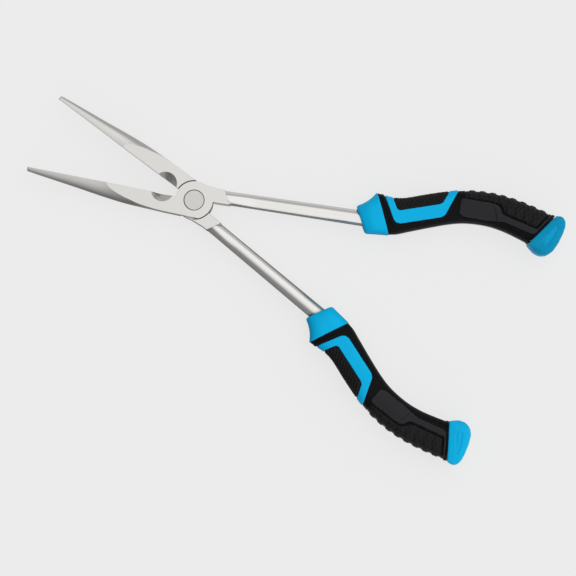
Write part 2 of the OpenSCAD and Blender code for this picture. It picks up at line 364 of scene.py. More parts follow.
# what the relief functions read at each grid point; the last three are outline distances
FIELDS = {
    "outer_run": outer_edge_run(),
    "run": over_rows(ROW_RUN),
    "girth": column_girth(),
    "x": GRID[:, :, 0],
    "z": GRID[:, :, 2],
    "panel_field": grid_distance(PANEL_FIELD, PANEL_FIELD_RADII),
    "frame": grid_distance(FRAME_OUTER, 1.6),
    "palm_pad": grid_distance(PALM_PAD, PALM_PAD_RADII),
}
THUMB_AREA = grid_distance(FRAME_INNER, 1.3)
FRAME_AREA = np.maximum(FIELDS["frame"], -THUMB_AREA)
PALM_AREA = FIELDS["palm_pad"]
PANEL_AREA = grid_distance(SIDE_PANEL, SIDE_PANEL_RADII)
SLEEVE_AREA = MOULDING_GAP - np.minimum(
    np.minimum(FRAME_AREA, THUMB_AREA), np.minimum(PALM_AREA, PANEL_AREA)
)


def flank(sign):
    """The side panel's area on the +z or -z flank only."""
    return np.maximum(PANEL_AREA, np.where(FIELDS["girth"] * sign > 0, -1e3, 1e3))


def patch(area, relief, depth):
    """Closed solid over the part of the grip grid where area <= 0.

    relief(edge, fields) is the top's offset along the normal, depth the bottom's.
    Returns points, faces and each point's distance to the edge.
    """
    rows, columns = area.shape
    total = rows * columns
    i = np.arange(rows - 1)[:, None] * columns
    j = np.arange(columns)[None]
    k = (j + 1) % columns
    cells = np.stack([i + j, i + columns + j, i + columns + k, i + k], -1).reshape(-1, 4)
    level = area.ravel()
    inside = level <= 0
    count = inside[cells].sum(1)
    quads = cells[count == 4]

    # trim the cells the edge runs through
    cut_at = {}
    cuts = []  # grid point, grid point, share of the way between them
    polygons = []
    for cell in cells[(count > 0) & (count < 4)].tolist():
        polygon = []
        for a, b in zip(cell, cell[1:] + cell[:1]):
            if inside[a]:
                polygon.append(a)
            if inside[a] != inside[b]:
                key = (min(a, b), max(a, b))
                if key not in cut_at:
                    cut_at[key] = total + len(cuts)
                    low, high = level[key[0]], level[key[1]]
                    cuts.append((*key, min(0.93, max(0.07, low / (low - high)))))
                polygon.append(cut_at[key])
        polygons.append(polygon)
    cut_a, cut_b = (np.array([cut[n] for cut in cuts], int) for n in (0, 1))
    cut_t = np.array([cut[2] for cut in cuts], float)[:, None]

    used = np.zeros(total + len(cuts), bool)
    used[quads.ravel()] = True
    for polygon in polygons:
        used[polygon] = True

    def with_cuts(values):
        values = values.reshape(total, -1)
        return np.concatenate([values, values[cut_a] * (1 - cut_t) + values[cut_b] * cut_t])

    edge = with_cuts(area)[:, 0]
    edge[total:] = 0
    edge = edge[used]
    points = with_cuts(GRID)[used]
    normals = with_cuts(GRID_NORMALS)[used]
    normals = normals / (np.linalg.norm(normals, axis=1, keepdims=True) + 1e-12)
    fields = {key: with_cuts(values)[:, 0][used] for key, values in FIELDS.items()}

    size = len(points)
    renumber = -np.ones(len(used), int)
    renumber[used] = np.arange(size)
    quads = renumber[quads]
    polygons = [[int(renumber[v]) for v in polygon] for polygon in polygons]

    # the rim is every directed edge that has no opposite
    edges = [quads[:, [0, 1]], quads[:, [1, 2]], quads[:, [2, 3]], quads[:, [3, 0]]]
    edges.append(np.array([pair for p in polygons for pair in zip(p, p[1:] + p[:1])], int))
    edges = np.concatenate(edges)
    forward = edges[:, 0].astype(np.int64) * size + edges[:, 1]
    backward = edges[:, 1].astype(np.int64) * size + edges[:, 0]
    rim = edges[~np.isin(forward, backward)]

    top = quads.tolist() + polygons
    bottom = [face[::-1] for face in top]
    a, b, c = quads[len(quads) // 2][:3]
    if np.cross(points[b] - points[a], points[c] - points[a]) @ normals[a] < 0:
        top, bottom = bottom, top
    else:
        rim = rim[:, ::-1]
    faces = top + [[v + size for v in face] for face in bottom]
    faces += [[a, b, b + size, a + size] for a, b in rim.tolist()]
    raised = points + normals * relief(edge, fields)[:, None]
    return np.concatenate([raised, points - normals * depth]), faces, np.tile(edge, 2)


# ------------------------------------------------------------------ grip relief (mm)
def roll(edge, radius):
    """Drop of a rounded border at distance -edge inside the outline."""
    q = np.clip((radius + edge) / radius, 0, 1)
    return radius - radius * np.sqrt(np.maximum(0, 1 - q * q))


def plateau(wave, gain, shift=0.0):
    """Turns a -1..1 wave into flat-topped 0..1 bumps."""
    return 0.5 + 0.5 * np.tanh(gain * wave + shift) / np.tanh(gain)


def frame_relief(edge, f):
    return 0.42 - roll(edge, 0.32)


def thumb_relief(edge, f):
    """Staggered knurls, pushed a little out of line."""
    pitch_along, half_pitch_around = 2.15, 1.2
    run, girth = f["run"], f["girth"]
    wobble = 0.25 * np.sin(run * 1.7 + girth * 0.9) + 0.2 * np.sin(girth * 2.3 - run * 0.8)
    wave = np.cos(2 * np.pi * (run / pitch_along) + wobble)
    wave = wave * np.cos(np.pi * (girth / half_pitch_around) + 0.3 * wobble)
    return -0.05 + 0.5 * plateau(wave, 2.2) * smooth(-edge, 0.1, 0.9) - roll(edge, 0.25)


def palm_relief(edge, f):
    """Broad scallops over the outer edge, small staggered cells on the flanks."""
    scallop_pitch, cell_pitch, cell_width = 5.45, 2.725, 2.2
    girth = np.abs(f["girth"])
    scallop = plateau(np.cos(2 * np.pi * (f["outer_run"] + 0.10 * girth) / scallop_pitch), 2.0, 0.3)
    wave = np.cos(2 * np.pi * f["outer_run"] / cell_pitch)
    cell = plateau(wave * np.cos(np.pi * (girth - 1.2) / cell_width), 2.6)
    on_flank = smooth(girth, 3.2, 5.2)
    calm = smooth(-f["z"], 1.0, 4.0)  # shallower on the lap side
    cell = cell * (1 - 0.6 * calm)
    scallop = scallop * (1 - 0.45 * on_flank * calm)
    pattern = 0.58 * scallop * (1 - on_flank) + (0.30 * scallop + 0.34 * cell) * on_flank
    return -0.15 + pattern * smooth(-edge, 0.15, 1.2) - roll(edge, 0.3)


def panel_relief(edge, f):
    """Field a hair lower than the rib, with a fine groove between them."""
    rib = smooth(f["panel_field"], -0.25, 0.25)
    groove = bell(f["panel_field"], 0.28)
    return 0.18 + 0.22 * rib - 0.15 * groove - roll(edge, 0.4)


def sleeve_relief(edge, f):
    end = f["run"].max()
    # bead round the frame's collar end
    near_collar = smooth(-f["x"], -108, -103) * smooth(f["frame"], 0.0, 0.3)
    bead = 0.34 * smooth(-np.abs(f["frame"] - 1.55), -0.85, -0.45) * near_collar
    # crease along both sides of the inner edge
    from_inner = PERIMETER / 2 - np.abs(f["girth"])
    crease = -0.30 * bell(from_inner - 3.4, 0.30) * smooth(f["run"], 9, 14)
    # flange at the end cap, with a lip over the outer edge
    flange = 0.32 * smooth(f["run"], end - 1.35, end - 1.0)
    at_outer = smooth(-np.abs(f["girth"]), -4.5, -2.0)
    lip = 0.35 * smooth(f["run"], end - 2.2, end - 0.6) * at_outer
    # fine ridge beside the palm pad
    ridge = 0.22 * bell(f["palm_pad"] - 0.75, 0.28) * smooth(f["x"], 134.5, 137)
    return bead + crease + flange + lip + ridge - roll(edge, 0.28)


# ------------------------------------------------------------------ shader nodes
def feed(tree, node, inputs):
    """Links sockets to the node's inputs, and sets plain values."""
    for key, value in inputs.items():
        if isinstance(value, bpy.types.NodeSocket):
            tree.links.new(value, node.inputs[key])
        else:
            node.inputs[key].default_value = value


def add_node(tree, kind, inputs=None, **settings):
    node = tree.nodes.new("ShaderNode" + kind)
    for key, value in settings.items():
        setattr(node, key, value)
    feed(tree, node, inputs or {})
    return node


def new_material(name):
    material = bpy.data.materials.new(name)
    material.use_nodes = True
    tree = material.node_tree
    tree.nodes.clear()
    output = add_node(tree, "OutputMaterial")
    shader = add_node(tree, "BsdfPrincipled")
    tree.links.new(shader.outputs[0], output.inputs[0])
    return material, tree, shader


def calc(tree, operation, *values, clamp=False):
    inputs = dict(enumerate(values))
    return add_node(tree, "Math", inputs, operation=operation, use_clamp=clamp).outputs[0]


def dot(tree, vector, direction):
    node = add_node(tree, "VectorMath", {0: vector, 1: direction}, operation="DOT_PRODUCT")
    return node.outputs["Value"]


def fade(tree, value, start, end, low=0.0, high=1.0):
    """Smooth step from low at start to high at end."""
    inputs = {"Value": value, "From Min": start, "From Max": end, "To Min": low, "To Max": high}
    node = add_node(tree, "MapRange", inputs, interpolation_type="SMOOTHSTEP")
    return node.outputs["Result"]


def mark(tree, name):
    return add_node(tree, "Attribute", attribute_name=name).outputs["Fac"]


def coords(tree, scale):
    """Lever-frame place in mm, scaled."""
    place = add_node(tree, "Attribute", attribute_name="loc").outputs["Vector"]
    return add_node(tree, "Mapping", {"Vector": place, "Scale": scale}).outputs[0]


def noise(tree, vector, detail, scale=1.0, rough=0.5):
    inputs = {"Vector": vector, "Scale": scale, "Detail": detail, "Roughness": rough}
    return add_node(tree, "TexNoise", inputs).outputs["Fac"]


def two_tone(tree, value, start, end, dark, light):
    node = add_node(tree, "ValToRGB", {0: value})
    for stop, position, color in zip(node.color_ramp.elements, (start, end), (dark, light)):
        stop.position = position
        stop.color = (*color, 1)
    return node.outputs[0]


def tinted(tree, amount, color, tint):
    """Color multiplied by a tint, by the given amount."""
    inputs = {0: amount, 6: color, 7: (*tint, 1)}
    return add_node(tree, "Mix", inputs, data_type="RGBA", blend_type="MULTIPLY").outputs[2]


def bump(tree, height, strength, distance, normal):
    inputs = {"Strength": strength, "Distance": distance, "Height": height, "Normal": normal}
    return add_node(tree, "Bump", inputs).outputs[0]


def edge_round(tree, radius):
    return add_node(tree, "Bevel", {"Radius": radius}, samples=4).outputs[0]


# ------------------------------------------------------------------ materials
def steel(name, grain_scale, base, rough):
    """Satin steel; grain_scale stretches the grain, rough is the range it runs through."""
    material, tree, shader = new_material(name)
    fine = noise(tree, coords(tree, grain_scale), detail=4, rough=0.6)
    broad = noise(tree, coords(tree, (0.05, 0.08, 0.08)), detail=2)
    color = two_tone(
        tree, broad, start=0.3, end=0.7, dark=[c * 0.985 for c in base], light=base
    )
    # the cutter's ground cones are a touch warmer
    amount = calc(tree, "MULTIPLY", mark(tree, "cut"), 1.0)
    color = tinted(tree, amount, color, tint=(1.0, 0.99, 0.97))
    # painted shade: dark walls in the joint's running gaps, on the rivet's rim and on the rear
    # cutter
    amount = calc(tree, "MULTIPLY", mark(tree, "gap"), 0.95)
    color = tinted(tree, amount, color, tint=(0.10, 0.095, 0.09))
    # painted shade: ground flats fully greyer, standing in for a dimmer reflection from straight
    # above; jaws by half
    ground = mark(tree, "ground")
    half_jaw = calc(tree, "MULTIPLY", mark(tree, "jaw"), 0.5)
    amount = calc(tree, "MULTIPLY_ADD", ground, 1.0, half_jaw, clamp=True)
    color = tinted(tree, amount, color, tint=(0.955, 0.948, 0.935))
    # painted shade: the jaws' sides darken towards their edges
    amount = calc(tree, "MULTIPLY", mark(tree, "side_shade"), mark(tree, "jaw"))
    color = tinted(tree, amount, color, tint=(0.02, 0.018, 0.016))
    # painted shade: dark lines in tight corners, weaker where the neck is marked
    nearby = add_node(tree, "AmbientOcclusion", {"Distance": 0.0016}, samples=6)
    strength = calc(tree, "MULTIPLY_ADD", mark(tree, "neck"), -1.2, 1.5)
    hidden = calc(tree, "SUBTRACT", 1.0, nearby.outputs["AO"])
    amount = calc(tree, "MULTIPLY", hidden, strength, clamp=True)
    color = tinted(tree, amount, color, tint=(0.22, 0.215, 0.21))

    roughness = calc(tree, "MULTIPLY_ADD", fine, rough[1] - rough[0], rough[0])
    for key, extra in (("jaw", 0.13), ("ground", 0.09)):
        roughness = calc(tree, "MULTIPLY_ADD", mark(tree, key), extra, roughness)

    normal = edge_round(tree, radius=0.00018)
    normal = bump(tree, fine, strength=0.035, distance=0.0002, normal=normal)
    # milling lines on the cutter's ground cones
    cut = mark(tree, "cut")
    lines = add_node(
        tree,
        "TexWave",
        {"Scale": 0.9, "Distortion": 0.6, "Vector": coords(tree, (1.0, 0.15, 1.0))},
        wave_type="BANDS",
        bands_direction="DIAGONAL",
    )
    height = calc(tree, "MULTIPLY", lines.outputs["Fac"], cut)
    normal = bump(tree, height, strength=0.35, distance=0.0004, normal=normal)
    feed(tree, shader, {
        "Metallic": 1.0, "Base Color": color, "Roughness": roughness, "Normal": normal,
    })
    return material


def plastic(name, light, dark, rough, grain=0.06, spec=0.5, sheen=0.0, shaded=False):
    """Moulded plastic; shaded ones get painted shade where the piece carries the shade mark."""
    material, tree, shader = new_material(name)
    broad = noise(tree, coords(tree, (0.09, 0.09, 0.09)), detail=3)
    color = two_tone(tree, broad, start=0.25, end=0.75, dark=dark, light=light)
    # painted shade where the shade mark is set
    if shaded:
        color = tinted(tree, mark(tree, "shade"), color, tint=(0.3, 0.3, 0.3))
    fine = noise(tree, coords(tree, (9, 9, 9)), detail=2)
    normal = edge_round(tree, radius=0.00012)
    feed(tree, shader, {
        "Base Color": color,
        "Roughness": calc(tree, "MULTIPLY_ADD", fine, 0.12, rough - 0.06),
        "Specular IOR Level": spec,
        "Normal": bump(tree, fine, strength=grain, distance=0.0002, normal=normal),
    })
    if sheen:
        feed(tree, shader, {"Sheen Weight": sheen, "Sheen Roughness": 0.20})
    return material


SATIN_STEEL = steel(
    "satin_steel", grain_scale=(0.35, 9.0, 9.0), base=(0.845, 0.838, 0.825), rough=(0.16, 0.25)
)
RIVET_STEEL = steel(
    "rivet_steel", grain_scale=(5.0, 5.0, 5.0), base=(0.705, 0.695, 0.68), rough=(0.26, 0.36)
)
BLUE = plastic(
    "blue_plastic", light=(0.0025, 0.478, 0.850), dark=(0.0020, 0.445, 0.815),
    rough=0.45, spec=0.07, shaded=True,
)
BLACK = plastic(
    "black_rubber", light=(0.0050, 0.0051, 0.0066), dark=(0.0038, 0.0038, 0.0048),
    rough=0.44, grain=0.10, spec=0.07, sheen=0.33,
)
PAD = plastic(
    "textured_rubber", light=(0.0058, 0.0058, 0.0068), dark=(0.0042, 0.0042, 0.0050),
    rough=0.50, grain=0.2, spec=0.19, sheen=0.30,
)
GREY = plastic(
    "smooth_panel", light=(0.0115, 0.0113, 0.0145), dark=(0.0095, 0.0093, 0.0120),
    rough=0.40, grain=0.05, spec=0.24, sheen=0.24,
)
CORE = plastic("core_plastic", light=(0.03, 0.03, 0.032), dark=(0.025, 0.025, 0.027), rough=0.6)


# ------------------------------------------------------------------ grip mouldings
def build_grip():
    # name, area, relief, depth below the surface, material, CAD node, slot, sharp angle
    mouldings = (
        ("sleeve", SLEEVE_AREA, sleeve_relief, 1.4, BLACK, "grip_sleeve", "black_rubber", 35),
        ("u_frame", FRAME_AREA, frame_relief, 1.3, BLUE, "accent_frame", "blue_plastic", 35),
        ("knurled_thumb_pad", THUMB_AREA + MOULDING_GAP, thumb_relief, 1.3, PAD, "thumb_pad",
         "pad_rubber", 60),
        ("ribbed_palm_pad", PALM_AREA, palm_relief, 1.3, PAD, "palm_pad", "pad_rubber", 60),
        ("outer_side_panel", flank(1), panel_relief, 1.3, GREY, "outer_panel", "grey_rubber", 35),
        ("inner_side_panel", flank(-1), panel_relief, 1.3, GREY, "inner_panel", "grey_rubber", 35),
    )
    for name, area, relief, depth, material, node, slot, sharp in mouldings:
        points, faces, edge = patch(area, relief, depth)
        add_to_both(
            name, points, faces, material, node, slot, sharp=sharp, point_marks={"edge": edge}
        )


# ------------------------------------------------------------------ collar
COLLAR_HALF_WIDTH = 8.5
COLLAR_U, COLLAR_V, _ = unit_section(10, 8, 176)


def collar_station(s):
    """Section centre, direction to the outer edge, height and half width at share s."""
    bow = 4 * s * (1 - s)
    outer = np.array([82.5 + 9.0 * s + 0.75 * bow, 14.2 + 8.9 * s - 0.75 * bow])
    inner = np.array([89.7 + 12.1 * s, 1.0 + 1.6 * s + 0.1 * bow])
    half_width = COLLAR_HALF_WIDTH
    if s <= 0.55:
        half_width -= 2.4 * (1 - s / 0.55) ** 2
    height = np.linalg.norm(outer - inner)
    return (outer + inner) / 2, (outer - inner) / height, height, half_width


def collar_ring(s, inset):
    centre, up, height, half_width = collar_station(s)
    half = height / 2 - inset
    x, y = (centre[k] + up[k] * half * COLLAR_U for k in (0, 1))
    return np.stack([x, y, (half_width - inset) * COLLAR_V], 1)


def bore_ring(s, radius):
    """Opening round the shank, in the collar's section plane."""
    centre, up, _, _ = collar_station(s)
    normal = np.array([-up[1], up[0]])
    reach = float((centre - SHANK_START) @ normal) / float(SHANK_DIR @ normal)
    on_axis = SHANK_START + SHANK_DIR * reach
    a = np.arctan2(COLLAR_V, COLLAR_U)
    x, y = (on_axis[k] + up[k] * radius / 0.9 * np.cos(a) for k in (0, 1))
    return np.stack([x, y, radius * np.sin(a)], 1)


def build_collar():
    rings = [bore_ring(0.45, 4.25), bore_ring(0.012, 4.25), bore_ring(-0.005, 4.5)]
    rings.append(rings[-1] * 0.5 + collar_ring(0.0, 1.5) * 0.5)
    for k in range(9):  # rounded edge on the shank side
        turn = k / 8 * math.pi / 2
        rings.append(collar_ring(0.10 * (1 - math.cos(turn)), 1.25 * (1 - math.sin(turn))))
    rings += [collar_ring(s, 0) for s in np.linspace(0.12, 0.955, 44)]
    for k in range(1, 7):  # rounded edge on the grip side
        turn = k / 6 * math.pi / 2
        rings.append(collar_ring(0.955 + 0.045 * math.sin(turn), 0.55 * (1 - math.cos(turn))))
    rings += [collar_ring(1.0, 1.6), collar_ring(1.0, 3.0), collar_ring(0.6, 3.0)]
    points, faces = loft(rings, closed=True)
    marks = {"edge": np.zeros(len(points))}
    add_to_both(
        "grip_collar", points, faces, BLUE, "collar", "blue_plastic", point_marks=marks
    )


# ------------------------------------------------------------------ end cap
# side view (x, y); the line from the last point to the first is the face against the sleeve
CAP_OUTLINE = [
    [172.9, 12.4], [176.6, 8.8], [180, 7.8], [183.4, 8.5], [186, 11], [188, 15.8],
    [189.3, 20.8], [189.8, 24.8], [189.3, 27.5], [188, 29], [186.4, 29.3], [184, 28.9],
]
CAP_RADII = [0.35, 6, 5, 5, 5, 8, 8, 5, 3, 3, 3, 0.6]
CAP_SLOT = [[179.05, 14.74], [185.3, 24.4], [186.8, 22.25], [181.96, 12.79]]
CAP_SPINE = np.array([[179.6, 13.6], [186.0, 24.6]])
CAP_HALF_WIDTH = 8.2
CAP_COLUMNS = 300


def cap_half(sign, outline, spine, rim_radius, slot):
    """Rings from the side wall, over the rounded rim, in towards the spine."""
    to_spine = spine - outline
    share = rim_radius / np.linalg.norm(outline - spine, axis=1)
    rings = []
    for k in range(15):
        turn = k / 14 * math.pi / 2
        plan = outline + to_spine * (share * (1 - math.cos(turn)))[:, None]
        z = CAP_HALF_WIDTH - rim_radius * (1 - math.sin(turn))
        rings.append(np.c_[plan, sign * z])
    share = share[:, None]
    for g in np.linspace(0.03, 0.985, 44):
        plan = outline + to_spine * (share + (1 - share) * g)
        crown = CAP_HALF_WIDTH + 0.3 * (1 - (1 - g) ** 2)
        in_slot = smooth(-outline_distance(plan[:, 0], plan[:, 1], slot), -0.45, 0.4)
        rings.append(np.c_[plan, sign * (crown - 0.38 * in_slot)])
    return rings


def build_end_cap():
    corners = fillet(CAP_OUTLINE, CAP_RADII, steps=9)
    loop = np.concatenate([corners, corners[:1]])
    run = path_run(loop)
    at = np.linspace(0, run[-1], CAP_COLUMNS + 1)[:-1]
    outline = np.stack([np.interp(at, run, loop[:, k]) for k in (0, 1)], 1)
    start, end = CAP_SPINE
    along = end - start
    t = np.clip(((outline - start) @ along) / (along @ along), 0.0, 1.0)
    spine = start + t[:, None] * along

    # the face against the sleeve stays crisp, the rest of the rim is well rounded
    first, last = np.array(CAP_OUTLINE[0]), np.array(CAP_OUTLINE[-1])
    normal = np.array([last[1] - first[1], first[0] - last[0]])
    from_face = np.abs((outline - first) @ (normal / np.linalg.norm(normal)))
    rim_radius = 0.7 + 2.9 * smooth(from_face, 0.3, 5.0)
    rim_radius = np.minimum(rim_radius, 0.75 * np.linalg.norm(outline - spine, axis=1))

    slot = fillet(CAP_SLOT, 0.9)
    upper, lower = (cap_half(sign, outline, spine, rim_radius, slot) for sign in (1, -1))
    wall_heights = np.linspace(-0.8, 0.8, 9)[1:-1] * (CAP_HALF_WIDTH - 3.6)
    wall = [at_height(outline, z) for z in wall_heights]
    points, faces = loft(lower[::-1] + wall + upper, caps=True)

    # painted shade: darker on the +z side, less so inside the slot
    x, y, z = points.T
    in_slot = smooth(-outline_distance(x, y, slot), -0.4, 0.5) * (np.abs(z) > 6)
    shade = (0.50 - 0.20 * in_slot) * smooth(z, -2.5, 2.5) + 0.05
    marks = {"edge": np.zeros(len(points)), "shade": shade}
    add_to_both("end_boot", points, faces, BLUE, "end_cap", "blue_plastic", point_marks=marks)


# ------------------------------------------------------------------ steel levers
# jaw knots: distance from the pivot, depth across y, half width along z
JAW_X = [6, 14, 22, 28, 32, 36, 40, 44, 46.5, 50, 54, 60, 70, 78, 84, 88.4]
JAW_DEPTH = [
    8.8, 8.8, 8.79, 8.7, 8.6, 8.4, 8.05, 7.65, 7.37, 6.95, 6.45, 5.65, 4.45, 3.5, 2.75, 2.15,
]
JAW_HALF_WIDTH = [
    60, 30, 14, 9.8, 7.6, 6.6, 5.85, 5.25, 4.95, 4.62, 4.3, 3.86, 3.08, 2.42, 1.92, 1.5,
]
JAW_TIP_START = 87.75  # where the nose starts to round off
# blocks in plan: behind the jaw's root, and between the boss and the neck's outer edge
ROOT_BLOCK = [[-12.03, -8.77], [0.3, -8.77], [0.4, 0.6], [-8.6, -0.03], [-12.07, -0.02]]
NECK_WEDGE = [[3.2, 9.02], [12.2, 8.157], [12.0, 5.5], [2.0, 5.2]]
LEVER_FIELD = [[-100, -40], [120, -40], [120, 40], [-100, 40]]  # larger than the lever
PIVOT = np.array([0.0, 0.0])
BOSS_RADIUS = 9.72
BOSS_TRIM = -8.8  # flat on the boss's -y side
SEAT_RADIUS = 10.28  # clears the other lever's boss
BORE_RADIUS = 4.03
CUTTER = np.array([-17.05, 1.85])
CUTTER_RADII = (1.25, 6.02)  # at mid thickness, and at CUTTER_DEPTH
CUTTER_DEPTH = HALF_THICK + 0.1
TOOTH_COUNT, TOOTH_PITCH = 25, 1.4
TEETH_START, TOOTH_ROOT, JAW_FACE = -87.6, -0.20, 0.02


def jaw_mesh():
    """Half an oval, flat on the gripping side; the flats trim its root later."""
    nose = JAW_TIP_START + 0.65 * np.sin(np.linspace(0.1, 1, 7) * math.pi / 2)
    xs = np.concatenate([np.linspace(5, 24, 12), np.linspace(25, 87.7, 150), nose])
    depths, half_widths = spline(xs, JAW_X, JAW_DEPTH), spline(xs, JAW_X, JAW_HALF_WIDTH)
    # the angle runs from the lap side (-z) to the rounder +z side
    a = np.linspace(0, math.pi, 61)
    exponent = 0.80 + 0.18 * smooth(a, 1.2, 1.95)
    rings = []
    for x, depth, half_width in zip(xs, depths, half_widths):
        tip = math.sqrt(max(0.0, 1 - max(0.0, (x - JAW_TIP_START) / 0.66) ** 2))
        y = -depth * (0.70 + 0.30 * tip) * np.sin(a) ** exponent
        z = -half_width * (0.60 + 0.40 * tip) * signed_power(np.cos(a), exponent)
        rings.append(np.stack([np.full_like(y, -x), y, z], 1))
    return loft(rings[::-1], caps=True)


def neck_mesh():
    """Flat-sided bar whose slanted end drops onto the shank in a short rounded step."""
    stations = [(x, 3.66, 5.55) for x in np.linspace(4, 16.2, 30)]  # x, half y, half z
    stations += [
        (16.26, 3.64, 4.9), (16.38, 3.6, 4.5), (16.62, 3.52, 4.0), (17.0, 3.4, 3.4),
        (17.5, 3.0, 2.6),
    ]
    a = circle_angles(160, 0.005)
    rings = []
    for x, half_y, half_z in stations:
        across = half_y * signed_power(np.cos(a), 0.22)
        centre_y = SHANK_START[1] + (x - SHANK_START[0]) * (SHANK_RISE / SHANK_SPAN)
        lean = 0.55 * float(smooth(x, 6, 12))
        z = half_z * signed_power(np.sin(a), 0.22)
        rings.append(np.stack([x - lean * across, centre_y + across, z], 1))
    return loft(rings, caps=True)


def shank_mesh():
    """Round bar, widening to the collar and a little taller where it meets the neck."""
    across = (-SHANK_DIR[1], SHANK_DIR[0])
    a = circle_angles(120, 0.013)
    rings = []
    for run in np.linspace(-8, 71.4, 60):
        centre = SHANK_START + SHANK_DIR * run
        radius = 3.6 + max(0.0, run) / SHANK_SPAN * 0.45
        half_z = radius + 1.2 * (1 - float(smooth(run, -4, 12)))
        x, y = (centre[k] + across[k] * radius * np.cos(a) for k in (0, 1))
        rings.append(np.stack([x, y, half_z * np.sin(a)], 1))
    return loft(rings, caps=True)


def boss_mesh():
    a = np.linspace(0, 2 * np.pi, 257)[:-1]
    y = np.maximum(BOSS_RADIUS * np.sin(a), BOSS_TRIM)
    return prism(np.stack([BOSS_RADIUS * np.cos(a), y], 1), 2.1, 1.9)


def teeth_mesh():
    """Row of notches in the jaw's gripping face."""
    clear_x, clear_y = TEETH_START - 2.0, 1.0
    end_x = TEETH_START + TOOTH_PITCH * TOOTH_COUNT
    outline = [[clear_x, clear_y], [clear_x, JAW_FACE]]
    for k in range(TOOTH_COUNT):
        outline.append([TEETH_START + TOOTH_PITCH * k, JAW_FACE])
        outline.append([TEETH_START + TOOTH_PITCH * (k + 0.5), TOOTH_ROOT])
    outline += [[end_x, JAW_FACE], [end_x, clear_y]]
    return prism(outline[::-1], 1, 1)


def combine(ob, tool, operation):
    """Applies a boolean to ob and deletes the tool."""
    modifier = ob.modifiers.new("b", "BOOLEAN")
    modifier.object = tool
    modifier.operation = operation
    modifier.solver = "EXACT"
    graph = bpy.context.evaluated_depsgraph_get()
    graph.update()
    result = bpy.data.meshes.new_from_object(ob.evaluated_get(graph))
    ob.modifiers.clear()
    before = ob.data
    ob.data = result
    bpy.data.meshes.remove(before)
    discard(tool)


def discard(ob):
    mesh = ob.data
    bpy.data.objects.remove(ob)
    bpy.data.meshes.remove(mesh)


def lever_mesh():
    below, above = -HALF_THICK - 1, HALF_THICK + 1
    steps = [
        ("UNION", prism(ROOT_BLOCK, 1.6, 1.7)),
        ("UNION", boss_mesh()),
        ("UNION", neck_mesh()),
        ("UNION", prism(NECK_WEDGE, 1.1, 1.3)),
        ("UNION", shank_mesh()),
        # grind both flats
        ("INTERSECT", prism(LEVER_FIELD, 0, 0)),
        # seat for the other boss, rivet bore and countersink
        ("DIFFERENCE", cone(PIVOT, below, 0.025, SEAT_RADIUS, SEAT_RADIUS, count=256)),
        ("DIFFERENCE", cone(PIVOT, below, above, BORE_RADIUS, BORE_RADIUS)),
        ("DIFFERENCE", cone(PIVOT, HALF_THICK - 1.95, HALF_THICK + 0.5, 3.47, 5.92)),
        ("DIFFERENCE", cone(CUTTER, 0, CUTTER_DEPTH, *CUTTER_RADII)),
        ("DIFFERENCE", cone(CUTTER, 0, -CUTTER_DEPTH, *CUTTER_RADII)),
        ("DIFFERENCE", teeth_mesh()),
    ]
    lever = link_mesh("lever_work", *jaw_mesh())
    for operation, tool in steps:
        combine(lever, link_mesh("tool", *tool), operation)
    points = np.zeros(len(lever.data.vertices) * 3)
    lever.data.vertices.foreach_get("co", points)
    faces = [list(face.vertices) for face in lever.data.polygons]
    discard(lever)
    return points.reshape(-1, 3), faces


def lever_face_marks(points, faces):
    """Cutter cones, walls of the joint's gaps, ground flats and jaw faces."""
    marks = {key: np.zeros(len(faces)) for key in ("cut", "gap", "ground", "jaw")}
    r0, r1 = CUTTER_RADII
    for k, face in enumerate(faces):
        p = points[face]
        normal = np.zeros(3)
        for i in range(1, len(face) - 1):
            normal += np.cross(p[i] - p[0], p[i + 1] - p[0])
        normal /= np.linalg.norm(normal) + 1e-12
        tilt = abs(normal[2])
        middle_z = p.mean(0)[2]
        from_cutter = np.hypot(p[:, 0] - CUTTER[0], p[:, 1] - CUTTER[1])
        cone_radius = r0 + (r1 - r0) * np.abs(p[:, 2]) / CUTTER_DEPTH
        if tilt < 0.95 and np.all(np.abs(from_cutter - cone_radius) < 0.03):
            marks["cut"][k] = 1
        radius = np.hypot(p[:, 0], p[:, 1])
        if tilt < 0.3 and radius.min() > 9.6 and radius.max() < 10.4:
            marks["gap"][k] = 1
        if radius.max() < 5.8 and middle_z > 2.9 and tilt < 0.95:
            marks["gap"][k] = 0.6
        if tilt > 0.999 and abs(middle_z) > 4.9:
            marks["ground"][k] = 1
        elif p[:, 0].max() < -20 and not marks["cut"][k]:
            marks["jaw"][k] = 1
    return marks


def crease_flats(mesh):
    """Hard edges wherever a ground flat (normal along the pivot) meets anything else."""
    normals = np.zeros(len(mesh.polygons) * 3)
    mesh.polygons.foreach_get("normal", normals)
    flat = np.abs(normals.reshape(-1, 3)[:, 2]) > 0.99999
    sides = {}
    for face in mesh.polygons:
        for key in face.edge_keys:
            sides.setdefault(key, []).append(flat[face.index])
    for edge in mesh.edges:
        pair = sides.get(edge.key, ())
        if len(pair) == 2 and pair[0] != pair[1]:
            edge.use_edge_sharp = True


